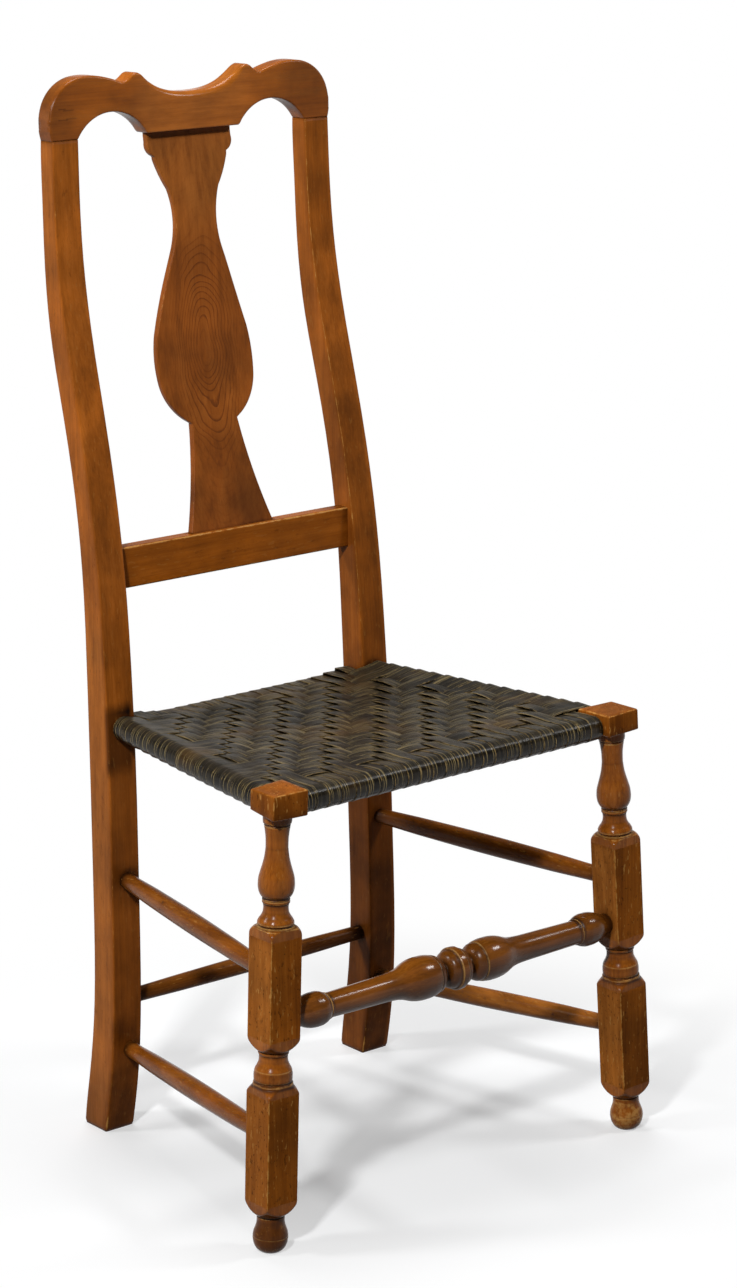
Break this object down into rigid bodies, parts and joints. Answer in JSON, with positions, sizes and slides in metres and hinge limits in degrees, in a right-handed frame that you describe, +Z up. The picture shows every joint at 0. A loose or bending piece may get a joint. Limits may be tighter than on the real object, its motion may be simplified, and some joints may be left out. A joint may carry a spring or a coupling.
{
  "type": "side chair",
  "caption": "Side chair with turned front legs and stretchers, curved posts, a yoke crest over a vase splat, and a woven splint seat.",
  "frame": {"origin": "on the floor, under the middle of the chair's overall width and depth", "axes": "+Z up, the chair faces -Y, +X to the viewer's right"},
  "size_m": [0.4832, 0.4275, 1.0486],
  "materials": {
    "frame_wood": "satin varnish, worn on the arrises",
    "rail_wood": "bare",
    "splint": "old dark paint over split wood strips"
  },
  "bodies": {
    "root": {"front_leg_left": "frame_wood", "front_leg_right": "frame_wood", "post_left": "frame_wood", "post_right": "frame_wood", "crest_rail": "frame_wood", "splat": "frame_wood", "lower_back_rail": "frame_wood", "front_stretcher": "frame_wood", "rear_stretcher": "frame_wood", "side_stretcher_upper_left": "frame_wood", "side_stretcher_lower_left": "frame_wood", "side_stretcher_upper_right": "frame_wood", "side_stretcher_lower_right": "frame_wood", "seat_rail_front": "rail_wood", "seat_rail_rear": "rail_wood", "seat_rail_left": "rail_wood", "seat_rail_right": "rail_wood", "warp_splints": "splint", "weft_splints": "splint"}
  },
  "joints": []
}
